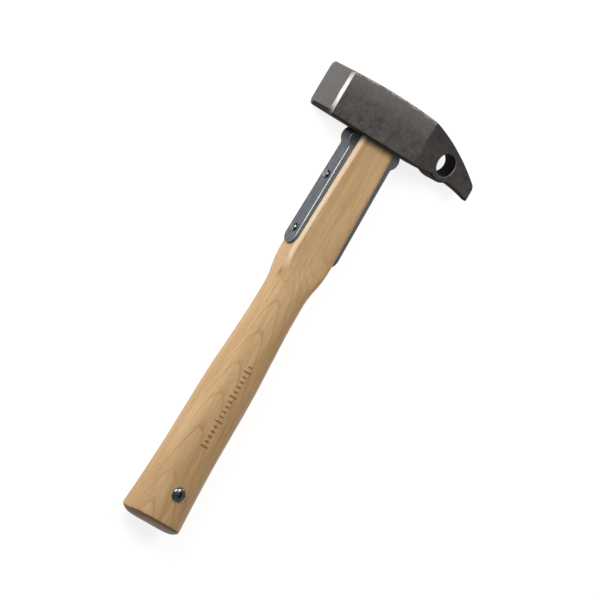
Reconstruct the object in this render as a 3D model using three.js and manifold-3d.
// Wall hammer: a forged steel head with a square striking face, a drooping pick and a carabiner hole,
// wedged on a wooden handle that two riveted steel straps reinforce.
//
// Millimetres, +Z up. The hammer lies on its side: +X runs along the handle towards the head, +Y towards
// the striking face and +Z away from the surface it lies on. Shapes are drawn in the hammer's own frame,
// where x = 0 is the head's underside, y = 0 the handle's axis and z = 0 the hammer's middle plane. The
// group is moved at the end so that the origin is the bottom centre of the whole hammer's box.

import * as THREE from 'three';
import { LoftGeometry } from 'three/addons/geometries/LoftGeometry.js';
import { mergeVertices } from 'three/addons/utils/BufferGeometryUtils.js';
import Module from 'manifold-3d';

const wasm = await Module();
wasm.setup();

// ---- Driving dimensions -------------------------------------------------------------------------------

const GAP = 0.3; // left between two pieces that touch on the real hammer
const CUT = 4; // how far a cutting solid runs past the surface it cuts

// Head
const HEAD_HALF = 14.5; // half thickness, Z
const FACE_Y = 45; // striking face, in front of the handle's axis
const FACE_BEVEL = 2; // ground bevel around the striking face: its depth, and its width at the sides
const FACE_BEVEL_TOP = 0.7; // its width at the top
const FACE_BEVEL_UNDER = 2.6; // and at the underside
const TIP_Y = -73.5; // end of the pick
const EDGE_CHAMFER = 0.8; // long upper edges of the head
const UNDER_CHAMFER = 1.4; // and its long lower edges
const CROWN_TOP = 30; // highest point of the head's top, above its underside
const CROWN_Y = 10.6; // where that point is
const CROWN_RADIUS = 438;
const KINK_Y = -21.8; // where the flat top turns down into the pick
const PICK_SLOPE = THREE.MathUtils.degToRad(11.3); // slope of the pick's top where it starts
const PICK_RADIUS = 147; // radius of the pick's top, seen from the side
const PICK_TAPER = 0.295; // how fast the pick's half thickness falls where it starts
const PICK_HOLLOW = 0.0012; // how much that taper eases off towards the tip, per mm
const THROAT_Y = -31.2; // where the underside starts to rise behind the handle
const THROAT_RISE = 0.165; // slope of that rise
const BEAK_RADIUS = 66; // radius of the underside between the hole's boss and the tip
const BEAK_Y = -53; // where that curve starts
const BEAK_X = 1.1; // height of that start
const TIP_ROUND = 2.2; // length over which the tip is rounded off
const TIP_TOP_DROP = 3.7; // what the rounding takes off the tip's top
const TIP_UNDER_RISE = 0.9; // its underside
const TIP_SIDE_INSET = 1.1; // and each of its sides

// Carabiner hole, through the pick along Z, and the boss around it
const HOLE_RADIUS = 7;
const HOLE_X = 10.2;
const HOLE_Y = -45.4;
const BOSS_RADIUS = 11.1;

// Straps: flat bars that run up through the eye, each with a bump that the head bears on
const STRAP_HALF_WIDTH = 5.35; // at the head
const STRAP_HALF_WIDTH_END = 6.2; // and at the round lower end
const STRAP_THICKNESS = 3.6;
const STRAP_LENGTH = 75.9; // below the head
const STRAP_OUTER_TOP = 16.2; // outer face from the axis, at the head
const STRAP_OUTER_END = 17.2; // and at the lower end
const STRAP_TOP_X = 28.75; // the tongue ends just under the head's top
const EAR_RADIUS = 6.3;
const EAR_X = -4.2;
const EAR_Y = 12.65;
const EAR_FILLET = 2.5;

// Handle: x, half width (Y) and half thickness (Z) of its sections
const HANDLE_TOP_X = 28.75;
const HANDLE_SECTIONS = [
  [-253.3, 19.55, 12.65],
  [-236.3, 18.3, 12.5],
  [-222, 17.5, 12.4],
  [-208, 16.95, 12.3],
  [-190, 16.7, 12.15],
  [-171, 16.4, 12.0],
  [-158, 15.95, 11.8],
  [-143.5, 15.0, 11.45],
  [-132, 14.25, 11.2],
  [-120, 13.65, 10.95],
  [-108, 13.45, 10.75],
  [-97, 13.6, 10.3],
  [-88, 14.45, 9.2],
  [-80, 15.0, 8.3],
  [-75, 15.15, 8.15],
  [0, 12.6, 8.1],
  [HANDLE_TOP_X, 12.4, 8.1],
];
const GRIP_X = -103; // the grip's section is an oval below this
const SHOULDER_X = -80; // and a rectangle with round corners above this
const GRIP_EXPONENT = 2.3; // superellipse exponent of the oval
const CORNER_RADIUS = 3; // of the rectangle
const BUTT_X = -257.2; // centre of the butt, which is domed
const BUTT_POWERS_Y = [1.5, 7]; // the dome seen from the side: a flat end with round corners
const BUTT_POWERS_Z = [1, 2]; // and seen from the front: an arc that meets the grip at an edge

// Rivets through both straps and the handle
const RIVETS_X = { upper_rivet: -30.2, lower_rivet: -65.9 };
const RIVET_RADIUS = 1.9;
const RIVET_HEAD_RADIUS = 2.65;
const RIVET_HEAD_HEIGHT = 1.6;

// Wedges in the top of the handle
const WEDGE_DEPTH = 22;
const WEDGE_HALF_TOP = 1.6; // half thickness at the top
const WEDGE_HALF_END = 0.45; // and at the bottom
const STEEL_WEDGE_DEPTH = 15;
const STEEL_WEDGE_HALF_TOP = 1.1;
const STEEL_WEDGE_HALF_END = 0.4;
const STEEL_WEDGE_HALF_LENGTH = 5.8;
const STEEL_WEDGE_Y = 6.4;

// Lanyard fastener near the butt: a screw from the upper side into a barrel nut from the lower side
const FASTENER_X = -233.5;
const FASTENER_Y = -1;
const FASTENER_SEAT = 12.3; // flat spot that each head sits on, from the middle plane
const FASTENER_HEAD_RADIUS = 4.5;
const FASTENER_HEAD_HEIGHT = 1.85;
const SCREW_RADIUS = 2;
const SCREW_END_Z = -6; // how far the screw reaches into the nut
const BARREL_RADIUS = 3.4;
const BARREL_BORE_RADIUS = 2.4;
const BARREL_END_Z = 7;
const RECESS_HALF_LENGTH = 2.1; // cross recess of the screw
const RECESS_HALF_WIDTH = 0.5;
const RECESS_DEPTH = 1.3;

// ---- Materials ----------------------------------------------------------------------------------------

function material(color, roughness, metalness) {
  return new THREE.MeshStandardMaterial({ color, roughness, metalness });
}

const FORGED_STEEL = material(0x55504e, 0.5, 0.9);
const STRAP_STEEL = material(0x5a646c, 0.45, 0.9);
const BRIGHT_STEEL = material(0xb4b4b2, 0.25, 1);
const PALE_WOOD = material(0xb9966c, 0.55, 0);
const WEDGE_WOOD = material(0x9a7148, 0.7, 0);

// ---- Solids -------------------------------------------------------------------------------------------

// A three.js geometry as a manifold solid. Merging can flatten a triangle to a line, which is left out.
function toSolid(geometry) {
  const bare = new THREE.BufferGeometry().copy(geometry);
  bare.deleteAttribute('normal');
  bare.deleteAttribute('uv');
  const merged = mergeVertices(bare);
  const index = merged.getIndex().array;
  const triVerts = [];
  for (let i = 0; i < index.length; i += 3) {
    const [a, b, c] = [index[i], index[i + 1], index[i + 2]];
    if (a !== b && b !== c && c !== a) {
      triVerts.push(a, b, c);
    }
  }
  const vertProperties = new Float32Array(merged.getAttribute('position').array);
  const mesh = new wasm.Mesh({ numProp: 3, vertProperties, triVerts: new Uint32Array(triVerts) });
  return new wasm.Manifold(mesh);
}

// A manifold solid as a three.js geometry.
function toGeometry(solid) {
  const { vertProperties, triVerts } = solid.getMesh();
  const geometry = new THREE.BufferGeometry();
  geometry.setAttribute('position', new THREE.BufferAttribute(new Float32Array(vertProperties), 3));
  geometry.setIndex(Array.from(triVerts));
  geometry.computeVertexNormals();
  return geometry;
}

// The directions in the hammer's frame that a drawing's x, y and depth point in.
const DRAWN_ON = {
  xy: [new THREE.Vector3(1, 0, 0), new THREE.Vector3(0, 1, 0), new THREE.Vector3(0, 0, 1)],
  yz: [new THREE.Vector3(0, 1, 0), new THREE.Vector3(0, 0, 1), new THREE.Vector3(1, 0, 0)],
  zx: [new THREE.Vector3(0, 0, 1), new THREE.Vector3(1, 0, 0), new THREE.Vector3(0, 1, 0)],
};

// A shape drawn on one of the planes above, extruded between two heights along its third direction.
function extrude(shape, plane, low, high) {
  const geometry = new THREE.ExtrudeGeometry(shape, {
    depth: high - low,
    bevelEnabled: false,
    curveSegments: 10,
  });
  geometry.translate(0, 0, low);
  geometry.applyMatrix4(new THREE.Matrix4().makeBasis(...DRAWN_ON[plane]));
  return toSolid(geometry);
}

function rectangle(x0, x1, y0, y1) {
  const shape = new THREE.Shape();
  shape.moveTo(x0, y0);
  shape.lineTo(x1, y0);
  shape.lineTo(x1, y1);
  shape.lineTo(x0, y1);
  shape.closePath();
  return shape;
}

// Two points a side: a rectangle whose width across y changes from one end of x to the other.
function taper(x0, half0, x1, half1) {
  const shape = new THREE.Shape();
  shape.moveTo(x0, -half0);
  shape.lineTo(x1, -half1);
  shape.lineTo(x1, half1);
  shape.lineTo(x0, half0);
  shape.closePath();
  return shape;
}

// A round bar from one point to another along Z or Y.
function bar(axis, radius, low, high, x, across) {
  const geometry = new THREE.CylinderGeometry(radius, radius, high - low, 28);
  geometry.translate(0, (low + high) / 2, 0);
  if (axis === 'z') {
    geometry.rotateX(Math.PI / 2);
    geometry.translate(x, across, 0);
  } else {
    geometry.translate(x, 0, across);
  }
  return toSolid(geometry);
}

// Points of a shallow dome from its rim to its top on the axis: (radius, height) pairs for a lathe.
function domeProfile(rimRadius, baseY, height, steps = 5) {
  const points = [];
  for (let i = 0; i <= steps; i++) {
    const angle = (i / steps) * (Math.PI / 2);
    const radius = i === steps ? 0 : rimRadius * Math.cos(angle);
    points.push(new THREE.Vector2(radius, baseY + height * Math.sin(angle)));
  }
  return points;
}

// ---- Head ---------------------------------------------------------------------------------------------

// Height of the head's top at y: a long shallow arc over the body, a tighter one down the pick.
function headTop(y) {
  if (y >= KINK_Y) {
    return CROWN_TOP - CROWN_RADIUS + Math.sqrt(CROWN_RADIUS ** 2 - (y - CROWN_Y) ** 2);
  }
  const sine = Math.sin(PICK_SLOPE) + (KINK_Y - y) / PICK_RADIUS;
  return headTop(KINK_Y) - PICK_RADIUS * (Math.cos(PICK_SLOPE) - Math.sqrt(1 - sine ** 2));
}

// Height of the head's underside at y: flat, rising behind the handle, round the boss, then the beak.
function headUnderside(y) {
  const throat = Math.max(0, (THROAT_Y - y) * THROAT_RISE);
  const beak = BEAK_X - Math.max(0, BEAK_Y - y) ** 2 / (2 * BEAK_RADIUS);
  const fromHole = Math.min(Math.abs(y - HOLE_Y), BOSS_RADIUS);
  const boss = HOLE_X - Math.sqrt(BOSS_RADIUS ** 2 - fromHole ** 2);
  return Math.min(throat, y < HOLE_Y ? beak : Infinity, boss);
}

// Half thickness of the head at y: constant over the body, hollow taper down the pick.
function headHalfThickness(y) {
  const along = Math.max(0, KINK_Y - y);
  return HEAD_HALF - PICK_TAPER * along + PICK_HOLLOW * along ** 2;
}

// One cross-section of the head: a rectangle with chamfered corners, smaller along the face's bevel.
function headSection(y) {
  const beforeTip = THREE.MathUtils.clamp((y - TIP_Y) / TIP_ROUND, 0, 1);
  const rounding = 1 - Math.sqrt(1 - (1 - beforeTip) ** 2);
  const bevelY = FACE_Y - FACE_BEVEL;
  const bevel = Math.max(0, y - bevelY) / FACE_BEVEL;
  const top = headTop(Math.min(y, bevelY)) - rounding * TIP_TOP_DROP - bevel * FACE_BEVEL_TOP;
  const under = headUnderside(y) + rounding * TIP_UNDER_RISE + bevel * FACE_BEVEL_UNDER;
  const half = headHalfThickness(y) - rounding * TIP_SIDE_INSET - bevel * FACE_BEVEL;
  const c = EDGE_CHAMFER;
  const d = THREE.MathUtils.lerp(UNDER_CHAMFER, EDGE_CHAMFER, rounding);
  const corners = [
    [under, half - d],
    [under + d, half],
    [top - c, half],
    [top, half - c],
    [top, c - half],
    [top - c, -half],
    [under + d, -half],
    [under, d - half],
  ];
  return corners.map(([x, z]) => new THREE.Vector3(x, y, z));
}

function evenly(from, to, steps) {
  return Array.from({ length: steps }, (_, i) => from + ((to - from) * i) / steps);
}

function headBlank() {
  const tipAngles = evenly(0, Math.PI / 2, 5);
  const roundedTip = tipAngles.map((angle) => TIP_Y + TIP_ROUND * (1 - Math.cos(angle)));
  const bossHalf = 6.7;
  const places = [
    ...roundedTip,
    ...evenly(TIP_Y + TIP_ROUND, HOLE_Y - bossHalf, 6),
    ...evenly(HOLE_Y - bossHalf, HOLE_Y + bossHalf, 14),
    ...evenly(HOLE_Y + bossHalf, THROAT_Y, 3),
    ...evenly(THROAT_Y, KINK_Y, 3),
    ...evenly(KINK_Y, CROWN_Y, 4),
    ...evenly(CROWN_Y, FACE_Y - FACE_BEVEL, 4),
    FACE_Y - FACE_BEVEL,
    FACE_Y,
  ];
  return toSolid(new LoftGeometry(places.map(headSection), { capStart: true, capEnd: true }));
}

// The eye that the handle and both straps pass through, a rectangle with round corners.
function eyeCutter() {
  const halfY = STRAP_OUTER_TOP + GAP;
  const halfZ = HANDLE_SECTIONS.at(-1)[2] + GAP;
  const corner = CORNER_RADIUS + GAP;
  const shape = new THREE.Shape();
  shape.absarc(halfY - corner, halfZ - corner, corner, 0, Math.PI / 2);
  shape.absarc(corner - halfY, halfZ - corner, corner, Math.PI / 2, Math.PI);
  shape.absarc(corner - halfY, corner - halfZ, corner, Math.PI, 1.5 * Math.PI);
  shape.absarc(halfY - corner, corner - halfZ, corner, 1.5 * Math.PI, 2 * Math.PI);
  return extrude(shape, 'yz', -CUT, CROWN_TOP + CUT);
}

function head() {
  const hole = bar('z', HOLE_RADIUS, -HEAD_HALF, HEAD_HALF, HOLE_X, HOLE_Y);
  return headBlank().subtract(eyeCutter()).subtract(hole);
}

// ---- Straps -------------------------------------------------------------------------------------------

// Distance of a strap's outer face from the handle's axis, at x below or above the head's underside.
function strapOuter(x) {
  const below = Math.max(0, -x) / STRAP_LENGTH;
  return THREE.MathUtils.lerp(STRAP_OUTER_TOP, STRAP_OUTER_END, below);
}

// A strap's side outline, front strap's side up: a straight bar with the round ear just under the head.
function strapOutline() {
  const shoulderX = -GAP;
  const shoulderY = EAR_Y + Math.sqrt(EAR_RADIUS ** 2 - (shoulderX - EAR_X) ** 2);
  const filletY = strapOuter(EAR_X - EAR_RADIUS) + EAR_FILLET;
  const reach = EAR_RADIUS + EAR_FILLET;
  const filletX = EAR_X - Math.sqrt(reach ** 2 - (filletY - EAR_Y) ** 2);
  const toFillet = Math.atan2(filletY - EAR_Y, filletX - EAR_X);
  const shape = new THREE.Shape();
  shape.moveTo(-STRAP_LENGTH, STRAP_OUTER_END - STRAP_THICKNESS);
  shape.lineTo(0, STRAP_OUTER_TOP - STRAP_THICKNESS);
  shape.lineTo(STRAP_TOP_X, STRAP_OUTER_TOP - STRAP_THICKNESS);
  shape.lineTo(STRAP_TOP_X, STRAP_OUTER_TOP);
  shape.lineTo(shoulderX, STRAP_OUTER_TOP);
  shape.lineTo(shoulderX, shoulderY);
  shape.absarc(EAR_X, EAR_Y, EAR_RADIUS, Math.atan2(shoulderY - EAR_Y, shoulderX - EAR_X), toFillet);
  shape.absarc(filletX, filletY, EAR_FILLET, toFillet - Math.PI, -Math.PI / 2, true);
  shape.lineTo(-STRAP_LENGTH, STRAP_OUTER_END);
  shape.closePath();
  return shape;
}

// A strap's front outline with clearance all round, drawn as z across and x up. It widens towards its
// full round lower end.
function strapFront(clearance) {
  const halfWidth = STRAP_HALF_WIDTH + clearance;
  const endX = STRAP_HALF_WIDTH_END - STRAP_LENGTH;
  const shape = new THREE.Shape();
  shape.moveTo(halfWidth, STRAP_TOP_X + CUT);
  shape.lineTo(-halfWidth, STRAP_TOP_X + CUT);
  shape.lineTo(-halfWidth, 0);
  shape.absarc(0, endX, STRAP_HALF_WIDTH_END + clearance, Math.PI, 2 * Math.PI);
  shape.lineTo(halfWidth, 0);
  shape.closePath();
  return shape;
}

// The bar without its holes. The rear strap is the front strap turned over, on the other side of the axis.
function strapBlank(side) {
  const outline = extrude(strapOutline(), 'xy', -STRAP_HALF_WIDTH_END, STRAP_HALF_WIDTH_END);
  const front = extrude(strapFront(0), 'zx', 0, 2 * STRAP_OUTER_END);
  const blank = outline.intersect(front);
  if (side > 0) {
    return blank;
  }
  return toSolid(toGeometry(blank).rotateX(Math.PI));
}

function strap(side) {
  let solid = strapBlank(side);
  for (const x of Object.values(RIVETS_X)) {
    solid = solid.subtract(bar('y', RIVET_RADIUS + GAP, -2 * STRAP_OUTER_END, 2 * STRAP_OUTER_END, x, 0));
  }
  return solid;
}

// ---- Handle -------------------------------------------------------------------------------------------

// One section of the handle: a rectangle whose corners are superellipse quarters, so that it is a
// rectangle with small round corners near the head and an oval on the grip.
function handleSection(x, halfY, halfZ) {
  const squareness = THREE.MathUtils.smoothstep(x, GRIP_X, SHOULDER_X);
  const nearlyWhole = 0.96;
  const cornerY = THREE.MathUtils.lerp(nearlyWhole * halfY, CORNER_RADIUS, squareness);
  const cornerZ = THREE.MathUtils.lerp(nearlyWhole * halfZ, CORNER_RADIUS, squareness);
  const exponent = THREE.MathUtils.lerp(GRIP_EXPONENT, 2, squareness);
  const cornerSteps = 8;
  const points = [];
  for (let quarter = 0; quarter < 4; quarter++) {
    for (let step = 0; step <= cornerSteps; step++) {
      const angle = (step / cornerSteps) * (Math.PI / 2);
      const turned = quarter % 2 === 0 ? angle : Math.PI / 2 - angle;
      const signY = quarter === 0 || quarter === 3 ? 1 : -1;
      const signZ = quarter < 2 ? 1 : -1;
      const y = halfY - cornerY + cornerY * Math.max(0, Math.cos(turned)) ** (2 / exponent);
      const z = halfZ - cornerZ + cornerZ * Math.max(0, Math.sin(turned)) ** (2 / exponent);
      points.push(new THREE.Vector3(x, signY * y, signZ * z));
    }
  }
  return points;
}

// How much of the butt's half size is left at a share of the way from its edge to its centre.
function buttLeft(share, [rise, power]) {
  return (1 - share ** rise) ** (1 / power);
}

// The domed butt, from its centre out to its edge.
function buttSections() {
  const [x, halfY, halfZ] = HANDLE_SECTIONS[0];
  const shares = [0.9999, 0.985, 0.94, 0.85, 0.7, 0.52, 0.34, 0.16, 0.06];
  return shares.map((share) => {
    const leftY = halfY * buttLeft(share, BUTT_POWERS_Y);
    const leftZ = halfZ * buttLeft(share, BUTT_POWERS_Z);
    return handleSection(THREE.MathUtils.lerp(x, BUTT_X, share), leftY, leftZ);
  });
}

function handleBlank() {
  const spine = new THREE.CatmullRomCurve3(
    HANDLE_SECTIONS.map((section) => new THREE.Vector3(...section)),
    false,
    'centripetal',
  );
  const steps = 3 * (HANDLE_SECTIONS.length - 1);
  const body = spine.getPoints(steps).map(({ x, y, z }) => handleSection(x, y, z));
  return toSolid(new LoftGeometry([...buttSections(), ...body], { capStart: true, capEnd: true }));
}

// What a strap needs cut out of the wood under it.
function strapGroove(side) {
  const shape = new THREE.Shape();
  shape.moveTo(-STRAP_LENGTH - CUT, strapOuter(-STRAP_LENGTH - CUT) - STRAP_THICKNESS - GAP);
  shape.lineTo(0, STRAP_OUTER_TOP - STRAP_THICKNESS - GAP);
  shape.lineTo(STRAP_TOP_X + CUT, STRAP_OUTER_TOP - STRAP_THICKNESS - GAP);
  shape.lineTo(STRAP_TOP_X + CUT, STRAP_OUTER_END + CUT);
  shape.lineTo(-STRAP_LENGTH - CUT, STRAP_OUTER_END + CUT);
  shape.closePath();
  const halfWidth = STRAP_HALF_WIDTH_END + GAP;
  const outline = extrude(shape, 'xy', -halfWidth, halfWidth);
  const front = extrude(strapFront(GAP), 'zx', 0, 2 * STRAP_OUTER_END);
  const groove = outline.intersect(front);
  return side > 0 ? groove : toSolid(toGeometry(groove).rotateX(Math.PI));
}

function handle() {
  let solid = handleBlank();
  for (const side of [1, -1]) {
    solid = solid.subtract(strapGroove(side));
    solid = solid.subtract(steelWedge(side * STEEL_WEDGE_Y, GAP));
    const seat = FASTENER_HEAD_RADIUS + GAP;
    const [low, high] = side > 0 ? [FASTENER_SEAT, 2 * HEAD_HALF] : [-2 * HEAD_HALF, -FASTENER_SEAT];
    solid = solid.subtract(bar('z', seat, low, high, FASTENER_X, FASTENER_Y));
  }
  for (const x of Object.values(RIVETS_X)) {
    solid = solid.subtract(bar('y', RIVET_RADIUS + GAP, -2 * HEAD_HALF, 2 * HEAD_HALF, x, 0));
  }
  solid = solid.subtract(woodWedgeBlank(GAP));
  return solid.subtract(bar('z', BARREL_RADIUS + GAP, -2 * HEAD_HALF, 2 * HEAD_HALF, FASTENER_X, FASTENER_Y));
}

// ---- Wedges -------------------------------------------------------------------------------------------

// The wooden wedge fills the saw cut along the eye's length. Its kerf runs out at both ends.
function woodWedgeBlank(clearance) {
  const bottom = HANDLE_TOP_X - WEDGE_DEPTH - clearance;
  const top = HANDLE_TOP_X + (clearance > 0 ? CUT : 0);
  const shape = taper(bottom, WEDGE_HALF_END + clearance, top, WEDGE_HALF_TOP + clearance);
  const halfLength = HANDLE_SECTIONS.at(-1)[1] - GAP + (clearance > 0 ? CUT : 0);
  const geometry = toGeometry(extrude(shape, 'xy', -halfLength, halfLength));
  return toSolid(geometry.rotateX(Math.PI / 2));
}

// A steel wedge driven across the wooden one.
function steelWedge(y, clearance) {
  const bottom = HANDLE_TOP_X - STEEL_WEDGE_DEPTH - clearance;
  const top = HANDLE_TOP_X + (clearance > 0 ? CUT : 0);
  const shape = taper(bottom, STEEL_WEDGE_HALF_END + clearance, top, STEEL_WEDGE_HALF_TOP + clearance);
  const halfLength = STEEL_WEDGE_HALF_LENGTH + clearance;
  const geometry = toGeometry(extrude(shape, 'xy', -halfLength, halfLength));
  return toSolid(geometry.translate(0, y, 0));
}

function woodWedge() {
  return woodWedgeBlank(0)
    .subtract(steelWedge(STEEL_WEDGE_Y, GAP))
    .subtract(steelWedge(-STEEL_WEDGE_Y, GAP));
}

// ---- Rivets and the lanyard fastener ------------------------------------------------------------------

function lathe(points, segments = 24) {
  return new THREE.LatheGeometry(points, segments);
}

function rivet(x) {
  const seat = strapOuter(x) + GAP;
  const frontHead = domeProfile(RIVET_HEAD_RADIUS, seat, RIVET_HEAD_HEIGHT);
  const shank = [new THREE.Vector2(RIVET_RADIUS, -seat), new THREE.Vector2(RIVET_RADIUS, seat)];
  const rearHead = frontHead.map(({ x: radius, y }) => new THREE.Vector2(radius, -y)).reverse();
  return toSolid(lathe([...rearHead, ...shank, ...frontHead]).translate(x, 0, 0));
}

function screw() {
  const seat = FASTENER_SEAT + GAP;
  const profile = [
    new THREE.Vector2(0, SCREW_END_Z),
    new THREE.Vector2(SCREW_RADIUS, SCREW_END_Z),
    new THREE.Vector2(SCREW_RADIUS, seat),
    ...domeProfile(FASTENER_HEAD_RADIUS, seat, FASTENER_HEAD_HEIGHT),
  ];
  const top = seat + FASTENER_HEAD_HEIGHT;
  const bottom = top - RECESS_DEPTH;
  const [long, wide] = [RECESS_HALF_LENGTH, RECESS_HALF_WIDTH];
  const along = extrude(rectangle(-long, long, -wide, wide), 'xy', bottom, top + CUT);
  const across = extrude(rectangle(-wide, wide, -long, long), 'xy', bottom, top + CUT);
  const body = toSolid(lathe(profile).rotateX(Math.PI / 2));
  return body.subtract(along.add(across)).translate([FASTENER_X, FASTENER_Y, 0]);
}

function barrelNut() {
  const seat = FASTENER_SEAT + GAP;
  const outside = domeProfile(FASTENER_HEAD_RADIUS, -seat, -FASTENER_HEAD_HEIGHT).reverse();
  const profile = [
    ...outside,
    new THREE.Vector2(BARREL_RADIUS, -seat),
    new THREE.Vector2(BARREL_RADIUS, BARREL_END_Z),
    new THREE.Vector2(BARREL_BORE_RADIUS, BARREL_END_Z),
    new THREE.Vector2(BARREL_BORE_RADIUS, SCREW_END_Z - GAP),
    new THREE.Vector2(0, SCREW_END_Z - GAP),
  ];
  return toSolid(lathe(profile).rotateX(Math.PI / 2)).translate([FASTENER_X, FASTENER_Y, 0]);
}

// ---- Assembly -----------------------------------------------------------------------------------------

const hammer = new THREE.Group();

function addPiece(name, solid, pieceMaterial) {
  const mesh = new THREE.Mesh(toGeometry(solid), pieceMaterial);
  mesh.name = name;
  hammer.add(mesh);
}

addPiece('head', head(), FORGED_STEEL);
addPiece('handle', handle(), PALE_WOOD);
addPiece('front_strap', strap(1), STRAP_STEEL);
addPiece('rear_strap', strap(-1), STRAP_STEEL);
for (const [name, x] of Object.entries(RIVETS_X)) {
  addPiece(name, rivet(x), BRIGHT_STEEL);
}
addPiece('wood_wedge', woodWedge(), WEDGE_WOOD);
addPiece('front_steel_wedge', steelWedge(STEEL_WEDGE_Y, 0), STRAP_STEEL);
addPiece('rear_steel_wedge', steelWedge(-STEEL_WEDGE_Y, 0), STRAP_STEEL);
addPiece('lanyard_screw', screw(), BRIGHT_STEEL);
addPiece('lanyard_barrel_nut', barrelNut(), BRIGHT_STEEL);

hammer.position.set(-(BUTT_X + CROWN_TOP) / 2, -(TIP_Y + FACE_Y) / 2, HEAD_HALF);

export default hammer;
